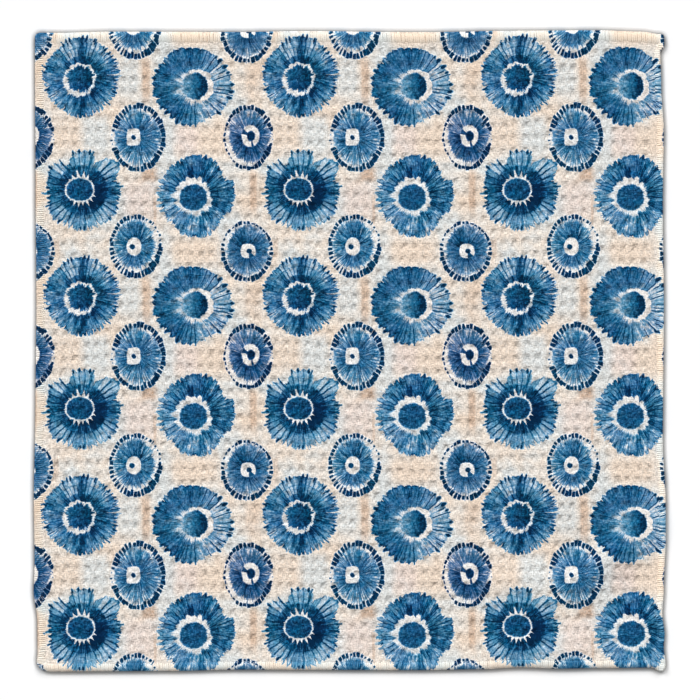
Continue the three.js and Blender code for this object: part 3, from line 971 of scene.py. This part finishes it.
# Sunbursts: a streaked disc with panels, dark lines and beads on its rim, and a bleached ring with
# lobes round a dark core. Gives the ink, where the discs are, and their cast of violet.
def drawSunbursts(add, place, cloud):
    ring = findRing(add, place, dye["sunburstsFrom"], sunbursts, sunburstRow, sunburstLook)
    ink, coarse, fine, rim = inkDisc(add, ring, cloud)
    ink = add("Mix", palePanels(add, ring), ink, ring["panelInk"])

    # Tongues with rounded ends, one for each place of a bead: the more the rim is frayed, the
    # deeper the slits between them. Their tips hold more ink.
    off, draws = turnCells(add, ring["turn"], ring["beadCount"], ring["seed"], ring["tongueSway"])
    slit = add("Math.POWER", off, ring["tongueRoundness"])
    slit = add("Math.MULTIPLY_ADD", slit, draws[1], ring["tongueGrowth"])
    depth = add("Math.MULTIPLY_ADD", ring["fray"], *ring["slitDepth"])
    rim = add("Math.SUBTRACT", rim, add("Math.MULTIPLY", slit, depth))
    inside = add("Math.SUBTRACT", rim, ring["length"])
    tips = add("Math.MULTIPLY", fine, ring["tipInk"])
    tips = isBelow(add, inside, ring["tipReach"], soft=0.03, full=tips)
    ink = add("Math.ADD", ink, tips)
    disc = isBelow(add, 0, inside, soft=0.016)
    ink = add("Math.MULTIPLY", ink, disc)

    # Beads sit on the rim; their cells are about three millimetres wide.
    off, draws = turnCells(add, ring["turn"], ring["beadCount"], ring["seed"], ring["beadSway"])
    frayedRim = add("Math.MULTIPLY_ADD", ring["fray"], ring["beadInset"], ring["reach"])
    beyond = add("Math.SUBTRACT", ring["length"], frayedRim)
    beyond = add("Math.MULTIPLY_ADD", beyond, *ring["beadStretch"])
    spot = add("VectorMath.LENGTH", add("CombineXYZ", off, beyond))
    size = add("Math.MULTIPLY_ADD", draws[1], *ring["beadSizes"])
    size = add("Math.MULTIPLY", size, ring["beadSize"])
    bead = isBelow(add, spot, size, soft=0.1)
    bead = isBelow(add, draws[0], ring["beads"], dye["chanceStep"], bead)

    # The bleached ring round the core has lobes outward, which taper the more sharply the higher
    # lobeSharpness is, from a band of lobeFloor. The fuzzier it is, the less white.
    lean, fromCore = fromOval(add, ring, "coreAcross", "coreUp", "coreWidth", "coreHeight")
    off, draws = turnCells(add, ring["turn"], ring["lobes"], ring["seed"], ring["lobeSway"])
    lobe = add("Math.MULTIPLY_ADD", off, *ring["lobeTaper"])
    lobe = add("Math.MAXIMUM", lobe, 0)
    lobe = add("Math.POWER", lobe, ring["lobeSharpness"])
    tall = add("Math.MULTIPLY_ADD", draws[1], *ring["lobeHeights"])
    lobe = add("Math.MULTIPLY_ADD", lobe, tall, ring["lobeFloor"])
    thick = add("Math.MULTIPLY", lobe, ring["ring"])
    thick = add("Math.MAXIMUM", thick, ring["thinnestRing"])
    thick = add("Math.DIVIDE", thick, add("Math.ADD", ring["coreWidth"], ring["coreHeight"]))
    ringEdge = add("Math.MULTIPLY_ADD", thick, 2, 1)
    frayed = add("Mix", ring["fuzz"], fine, coarse)
    frayed = add("Math.MULTIPLY_ADD", frayed, *ring["ringFray"])
    frayed = add("Math.MULTIPLY", frayed, ring["fuzz"])
    frayed = add("Math.ADD", fromCore, frayed)
    softness = add("Math.MULTIPLY_ADD", ring["fuzz"], *ring["ringSoftness"])
    white = add("Math.MULTIPLY_ADD", ring["fuzz"], *ring["ringWhite"])
    inRing = isBelow(add, frayed, ringEdge, softness, white)

    # The core's ink leans to one side, and its edge frays into the ring.
    frayed = add("Math.SUBTRACT", add("Mix", ring["coreMottle"], coarse, cloud), 0.5)
    frayed = add("Math.MULTIPLY_ADD", frayed, ring["coreFray"], fromCore)
    inCore = isBelow(add, frayed, 1, soft=0.07)
    lean = add("SeparateXYZ", lean).outputs["X"]
    core = add("Math.MULTIPLY_ADD", lean, ring["coreSlope"], ring["coreInk"])
    core = add("Math.MULTIPLY_ADD", cloud, ring["coreCloud"], core)
    streaks = add("Math.SUBTRACT", fine, 0.5)
    core = add("Math.MULTIPLY_ADD", streaks, ring["coreStreaks"], core)
    core = add("Math.ADD", core, ring["corePaler"])

    for mark in (inkLines(add, ring), bead):
        ink = add("Math.MAXIMUM", ink, mark)
    ink = add("Mix", inRing, ink, 0.0)
    ink = add("Mix", inCore, ink, core)
    return ink, disc, add("Math.MULTIPLY", disc, ring["violet"])


# Eyelets: a bleached eye with a dot, a disc that fades outward, and beads round it which some rays
# reach. Gives the same as the sunbursts.
def drawEyelets(add, place, cloud):
    ring = findRing(add, place, dye["eyeletsFrom"], eyelets, eyeletRow, eyeletLook)
    ink, coarse, fine, rim = inkDisc(add, ring, cloud)
    ink = isBelow(add, ring["length"], rim, soft=0.05, full=ink)

    # In each cell a bead with round corners, as long as its row says, reaching in from the rim.
    off, draws = turnCells(add, ring["turn"], ring["beadCount"], ring["seed"], ring["beadSway"])
    fill = add("Math.MULTIPLY_ADD", draws[0], *ring["beadWidths"])
    fill = add("Math.MULTIPLY_ADD", coarse, ring["beadRays"], fill)
    fill = add("Math.MULTIPLY", fill, ring["fill"])
    beyond = add("Math.SUBTRACT", off, fill)
    beyond = add("Math.MULTIPLY", beyond, ring["beadScale"])
    foot = add("Math.MULTIPLY_ADD", draws[1], *ring["beadLengths"])
    foot = add("Math.MULTIPLY_ADD", foot, ring["bead"], ring["beadFoot"])
    top = add("Math.MULTIPLY_ADD", draws[2], *ring["beadTops"])
    for ends in ((foot, ring["length"]), (ring["length"], top)):
        beyond = add("Math.SMOOTH_MAX", beyond, add("Math.SUBTRACT", *ends), ring["beadRound"])
    bead = isBelow(add, beyond, -0.002, soft=0.014, full=ring["beadInk"])

    # The eye: an oval, or a square with round corners, with a dot and dark cuts out from it.
    share, oval = fromOval(add, ring, "eyeAcross", "eyeUp", "eyeWidth", "eyeHeight")
    square = add("SeparateXYZ", add("VectorMath.ABSOLUTE", share)).outputs
    square = add("Math.SMOOTH_MAX", square["X"], square["Y"], ring["eyeCorner"])
    eye = add("Mix", ring["eyeSquare"], oval, square)
    eye = add("Math.MULTIPLY_ADD", fine, ring["eyeFray"], eye)
    inEye = isBelow(add, eye, 1.0, soft=0.08)
    share, dot = fromOval(add, ring, "dotAcross", "eyeUp", "dotWidth", "dotHeight")
    dot = isBelow(add, dot, 1.0, soft=0.2)
    parts = add("SeparateXYZ", share).outputs
    angle = add("Math.ARCTAN2", parts["Y"], parts["X"])
    angle = add("Math.MULTIPLY_ADD", angle, 0.5 / math.pi, ring["cutTurn"])
    off, _ = turnCells(add, angle, ring["cuts"], ring["seed"], ring["cutSway"])
    cut = add("Math.MULTIPLY", inEye, ring["cutInk"])
    cut = isBelow(add, ring["cutFrom"], off, soft=0.015, full=cut)

    for mark in (inkLines(add, ring), bead):
        ink = add("Math.MAXIMUM", ink, mark)
    ink = add("Mix", inEye, ink, 0.0)
    ink = add("Math.MAXIMUM", ink, cut)
    ink = add("Mix", dot, ink, ring["dotInk"])
    disc = isBelow(add, ring["length"], ring["discReach"], soft=0.02)
    return ink, disc, add("Math.MULTIPLY", disc, ring["violet"])


# Noise without a seam at the repeat: its place runs round two circles, one for each coordinate,
# which are as long as the repeat. Gives the four coordinates of that place.
def wrapPlace(add, place):
    radius = dye["cell"] / math.pi
    turns = add("VectorMath.SCALE", place, {"Scale": 1 / radius})
    angles = add("SeparateXYZ", turns).outputs
    waves = []
    for axis in "XY":
        for kind in ("Math.COSINE", "Math.SINE"):
            waves.append(add("Math.MULTIPLY", add(kind, angles[axis]), radius))
    return add("CombineXYZ", *waves[:3]), waves[3]


# The cloth's ground: off-white with faint cloudy stains, then the listed ones.
def stainGround(add, place, noise, cloud):
    ground = add("ValToRGB", noise)
    fillRamp(ground, [(at, *colourOf(stainColours[name])) for name, at in groundStops])
    uneven = add("Math.MULTIPLY_ADD", cloud, *dye["unevenStains"])
    for across, up, halfWidth, halfHeight, colour, strength in stains:
        middle = [start + shift for start, shift in zip(dye["stainsFrom"], (across, up, 0))]
        away = add("VectorMath.SUBTRACT", place, middle)
        away = add("VectorMath.WRAP", away, (dye["cell"],) * 3, (-dye["cell"],) * 3)
        away = add("VectorMath.DIVIDE", away, (halfWidth, halfHeight, 1))
        parts = add("SeparateXYZ", add("VectorMath.ABSOLUTE", away)).outputs
        full = add("Math.MULTIPLY", uneven, strength)
        for part in (parts["X"], parts["Y"]):
            full = add("MapRange", part, *dye["stainFade"], full, 0, interpolation_type="SMOOTHSTEP")
        stain = {"Factor": full, "A": ground, "B": colourOf(stainColours[colour])}
        ground = add("Mix", stain, data_type="RGBA")
    return ground


# The whole dye as a node group: from a flat place in millimetres to the colour of cloth and ink.
def makeDye():
    tree = bpy.data.node_groups.new("indigoResistDye", "ShaderNodeTree")
    tree.interface.new_socket(name="Place", in_out="INPUT", socket_type="NodeSocketVector")
    tree.interface.new_socket(name="Strength", in_out="INPUT", socket_type="NodeSocketFloat")
    tree.interface.new_socket(name="Color", in_out="OUTPUT", socket_type="NodeSocketColor")
    add = adderFor(tree)
    entry = add("NodeGroupInput").outputs
    place = add("VectorMath.MULTIPLY", entry["Place"], (1, 1, 0))
    spot, fourth = wrapPlace(add, place)
    noises = []
    for size, detail in (("creepSize", 4), ("cloudSize", 3), ("stainSize", 3)):
        noise = {"Vector": spot, "W": fourth, "Scale": 1 / dye[size], "Detail": detail,
                 "Roughness": dye["noiseRoughness"]}
        noises.append(add("TexNoise", noise, noise_dimensions="4D"))
    creep = add("VectorMath.SUBTRACT", noises[0].outputs["Color"], (0.5,) * 3)
    crept = add("VectorMath.MULTIPLY_ADD", creep, (dye["creep"], dye["creep"], 0), place)
    cloud = add("MapRange", noises[1], *noiseSpan)
    rings = zip(drawSunbursts(add, crept, cloud), drawEyelets(add, crept, cloud))
    ink, disc, violet = (add("Math.MAXIMUM", *pair) for pair in rings)

    # The cloth is bleached whiter inside the rings.
    white = {"Factor": add("Math.MULTIPLY", disc, dye["whitening"]),
             "A": stainGround(add, crept, noises[2], cloud), "B": colourOf(stainColours["bleached"])}
    ground = add("Mix", white, data_type="RGBA")

    # The ink: pale to deep indigo by its strength, greyer and more violet in some rings.
    ink = add("Math.MULTIPLY", ink, entry["Strength"])
    colour = add("ValToRGB", ink)
    fillRamp(colour, [(strength, *colourOf(code)) for strength, code in inkShades])
    grey = add("MapRange", noises[0].outputs["Fac"], *dye["greyFrom"])
    grey = add("Math.MULTIPLY", add("Math.SUBTRACT", dye["deepest"], ink), grey)
    full = add("Math.SUBTRACT", 1, grey)
    hue = add("SeparateColor", noises[2].outputs["Color"]).outputs["Green"]
    hue = add("MapRange", hue, *dye["hueFrom"])
    colour = add("HueSaturation", {"Hue": hue, "Saturation": full, "Color": colour})
    cast = {"Factor": violet, "A": colour, "B": colourOf(inkCast)}
    colour = add("Mix", cast, data_type="RGBA", blend_type="MULTIPLY")
    cover = add("MapRange", ink, *dye["coverFrom"])
    both = add("Mix", {"Factor": cover, "A": ground, "B": colour}, data_type="RGBA")
    add("NodeGroupOutput", both)
    return tree


# Bleached cotton waffle, dyed with indigo on its upper face: matt, with a faint fuzz of fibres.
# Each cell of the weave sinks to a small square pit, and the floats of thread between stand up.
# Its colour carries painted shade in the pits, and painted light and shade on the threads and fuzz.
cottonLook = {
    "pitDepth": 0.65,  # mm, besides the relief of the mesh
    "pitDepths": (0.6, 0.5),  # how much of it is up to chance, and the least
    "pitEdge": (0.06, 0.34, 0.1),  # cells: where the floor ends, where the rim is, the corners' round
    "pitsFrom": (5, 7.5),  # mm from the side, where the pits of the hem fade in
    # painted shade: how much darker a pit's colour is made
    "pitShade": 0.17,  # how much less light a pit gives back
    "drift": 0.6,  # cells, how far the pits wander from their grid
    "driftSize": 6,
    "threadPitch": 0.62,  # mm; the real threads, at 0.4, are a little too fine to show
    "threadLength": 1.7,  # mm, a float between two crossings
    "threadSpan": (0.65, 1.35),  # of the two noises' sum
    "threadHeight": 0.25,  # of the pits' depth
    # painted light and shade: the threads' colour is lighter where they stand higher
    "threadPaintedShade": 0.67,
    "fuzzSize": 1.7,
    "fuzzHeight": 0.3,
    # painted light and shade: the fuzz's colour is lighter where it stands higher
    "fuzzPaintedShade": 0.15,
    # how much weaker the dye is made where the threads stand up, and stronger where they lie low
    "paleWhereRaised": 0.2,  # how unevenly the threads take the dye up
    "strikeThrough": 0.16,  # the share of the dye that reaches the underside
}


def makeWaffleCotton(dyeTree):
    material, add = newMaterial("dyedWaffleCotton")
    look = cottonLook
    flat = add("Attribute", attribute_name="flatPlace").outputs["Vector"]
    upper = add("SeparateXYZ", flat).outputs["Z"]

    # Pits: square hollows, each of its own depth, none on the stitched hem.
    cells = add("Attribute", attribute_name="weavePlace").outputs["Vector"]
    fromHem = add("SeparateXYZ", cells).outputs["Z"]
    drift = add("TexNoise", {"Vector": flat, "Scale": 1 / look["driftSize"], "Detail": 2})
    drift = add("VectorMath.SUBTRACT", drift.outputs["Color"], (0.5,) * 3)
    cells = add("VectorMath.MULTIPLY_ADD", drift, (look["drift"],) * 3, cells)
    number = add("VectorMath.FLOOR", cells)
    draw = add("TexWhiteNoise", {"Vector": number}, noise_dimensions="2D").outputs["Value"]
    within = add("VectorMath.SUBTRACT", add("VectorMath.FRACTION", cells), (0.5,) * 3)
    within = add("SeparateXYZ", add("VectorMath.ABSOLUTE", within)).outputs
    floor, rim, corner = look["pitEdge"]
    off = add("Math.SMOOTH_MAX", within["X"], within["Y"], corner)
    deep = add("Math.MULTIPLY_ADD", draw, *look["pitDepths"])
    deep = add("MapRange", fromHem, *look["pitsFrom"], 0, deep)
    pit = add("MapRange", off, floor, rim, deep, 0)

    # Threads: short floats, some along the cloth and some across, and a fuzz over them. Where they
    # stand up the dye is made weaker, so they come out paler, and stronger where they lie low.
    thin, long = 1 / look["threadPitch"], 1 / look["threadLength"]
    floats = []
    for scale in ((thin, long, 1), (long, thin, 1)):
        place = add("VectorMath.MULTIPLY", flat, scale)
        floats.append(add("TexNoise", {"Vector": place, "Scale": 1, "Detail": 1}))
    threads = add("MapRange", add("Math.ADD", *floats), *look["threadSpan"])
    strength = add("MapRange", upper, 0, 1, look["strikeThrough"], 1)
    spread = look["paleWhereRaised"]
    weakerWhereRaised = add("Math.MULTIPLY_ADD", threads, -spread, 1 + spread / 2)
    strength = add("Math.MULTIPLY", strength, weakerWhereRaised)
    dyed = add("Group", flat, strength, node_tree=dyeTree)
    fuzz = {"Vector": flat, "Scale": 1 / look["fuzzSize"], "Detail": 2, "Roughness": 0.6}
    fuzz = add("MapRange", add("TexNoise", fuzz), *noiseSpan)

    height = add("Math.MULTIPLY", pit, -1)
    height = add("Math.MULTIPLY_ADD", fuzz, look["fuzzHeight"], height)
    height = add("Math.MULTIPLY_ADD", threads, look["threadHeight"], height)
    bump = add("Bump", {"Height": height, "Strength": 1, "Distance": look["pitDepth"] * metresPerMm})
    # Painted shade: the colour is made darker in the pits.
    paintedShade = add("Math.MULTIPLY_ADD", pit, -look["pitShade"], 1)
    # Painted light and shade: threads and fuzz are coloured lighter where higher and darker where
    # lower.
    for waves, depth in ((threads, look["threadPaintedShade"]), (fuzz, look["fuzzPaintedShade"])):
        wave = add("MapRange", waves, 0, 1, 1 - depth / 2, 1 + depth / 2)
        paintedShade = add("Math.MULTIPLY", paintedShade, wave)
    colour = add("VectorMath.SCALE", dyed, {"Scale": paintedShade})
    shader = {"Base Color": colour, "Roughness": 1.0, "Specular IOR Level": 0.1, "Normal": bump}
    add("OutputMaterial", add("BsdfPrincipled", shader))
    return material


# Overlock thread: soft spun cotton, a little smoother than the cloth. It took the dye too, and is
# cream where it meets none. Its colour is painted darker between twists and lighter on them, as shade
# and light.
threadLook = {
    "brightness": (1.18, 1.19, 1.17),  # of red, green and blue, as shares of the dyed cloth's
    "twists": 2.2,  # to a millimetre
    # painted shade between two twists and painted light on one, as shares of the colour
    "twistPaintedShades": (0.9, 1.04),  # between two twists, and on one
}


def makeThread(dyeTree):
    material, add = newMaterial("spunCottonThread")
    flat = add("Attribute", attribute_name="flatPlace").outputs["Vector"]
    dyed = add("Group", flat, 1, node_tree=dyeTree)
    bright = add("VectorMath.MULTIPLY", dyed, threadLook["brightness"])
    # Painted light and shade of the twists, in the colour only.
    twist = add("TexNoise", {"Vector": flat, "Scale": threadLook["twists"], "Detail": 1})
    paintedShade = add("MapRange", twist, *noiseSpan, *threadLook["twistPaintedShades"])
    colour = add("VectorMath.SCALE", bright, {"Scale": paintedShade})
    shader = {"Base Color": colour, "Roughness": 0.9, "Specular IOR Level": 0.15}
    add("OutputMaterial", add("BsdfPrincipled", shader))
    return material


# A floor of white board. To the camera its colour carries a painted shade close to the cloth,
# on top of the shadows its lamps cast.
floorLook = {
    "half": 3,  # metres
    "white": 0.93,
    "glow": 0.08,  # what the camera sees besides
    # the painted shade near the cloth: how far it reaches, and the power its darkening is raised to
    "paintedShadeReach": 2.8,  # mm
    "paintedShadePower": 2.2,
}


def makeFloor():
    half = floorLook["half"]
    mesh = bpy.data.meshes.new("floor")
    points = [(-half, -half, 0), (half, -half, 0), (half, half, 0), (-half, half, 0)]
    mesh.from_pydata(points, [], [(0, 1, 2, 3)])
    floor = bpy.data.objects.new("floor", mesh)
    bpy.context.scene.collection.objects.link(floor)
    material, add = newMaterial("whiteBoard")
    # Painted shade: to the camera, colour and glow are darkened near the cloth by ambient occlusion.
    near = add("AmbientOcclusion", {"Distance": floorLook["paintedShadeReach"] * metresPerMm}, samples=16)
    near = add("Math.POWER", near.outputs["AO"], floorLook["paintedShadePower"])
    shaded = add("VectorMath.SCALE", (floorLook["white"],) * 3, {"Scale": near})
    seenWhite = add("BsdfDiffuse", shaded)
    glow = add("Math.MULTIPLY", near, floorLook["glow"])
    glow = add("Emission", (1, 1, 1, 1), glow)
    both = add("AddShader", seenWhite, glow)
    white = add("BsdfDiffuse", (floorLook["white"],) * 3 + (1,))
    seen = add("LightPath").outputs["Is Camera Ray"]
    add("OutputMaterial", add("MixShader", seen, white, both))
    mesh.materials.append(material)
    return floor


studio = {
    "skyLight": 0.38,
    "windowLight": 0.31,  # from each of two, and with the sky's 1: a colour renders as written
    "windowHeight": 34,  # degrees above the floor
    "windowTurns": (42, -24),  # degrees from the cloth's top side towards its left
    "windowSize": 24,  # degrees across, for soft shadows
    "cameraHeight": 1.6,  # metres, as the next two
    "viewWidth": 0.3654,
    "viewMiddle": (0.0002, 0.00045),
}


def makeStudio():
    scene = bpy.context.scene
    world = bpy.data.worlds.new("studio")
    world.use_nodes = True
    world.node_tree.nodes.clear()
    add = adderFor(world.node_tree)
    seen = add("LightPath").outputs["Is Camera Ray"]
    strength = add("MapRange", seen, 0, 1, studio["skyLight"], 1)
    add("OutputWorld", add("Background", (1, 1, 1, 1), strength))
    scene.world = world
    lamp = bpy.data.lights.new("windowLight", "SUN")
    height = math.radians(studio["windowHeight"])
    lamp.energy = studio["windowLight"] * math.pi / math.sin(height)
    lamp.angle = math.radians(studio["windowSize"])
    for turn in studio["windowTurns"]:
        window = bpy.data.objects.new("window", lamp)
        window.rotation_euler = (-(math.pi / 2 - height), 0, math.radians(turn))
        window.location = (0, 1, 1)
        scene.collection.objects.link(window)
    view = bpy.data.cameras.new("camera")
    view.sensor_width = 36
    view.lens = view.sensor_width * studio["cameraHeight"] / studio["viewWidth"]
    camera = bpy.data.objects.new("camera", view)
    camera.location = (*studio["viewMiddle"], studio["cameraHeight"] + cloth["thickness"] * metresPerMm)
    scene.collection.objects.link(camera)
    scene.camera = camera
    scene.view_settings.view_transform = "Standard"


print("studio")
makeStudio()
makeFloor()

print("sheet")
sheet = makeSheet()
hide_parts("cloth")
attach(sheet, "root")

print("stitches")
stitches = makeStitches()
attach(stitches, "root")

print("dye and thread")
dyeTree = makeDye()
sheet.data.materials.append(makeWaffleCotton(dyeTree))
stitches.data.materials.append(makeThread(dyeTree))

bpy.context.view_layer.update()
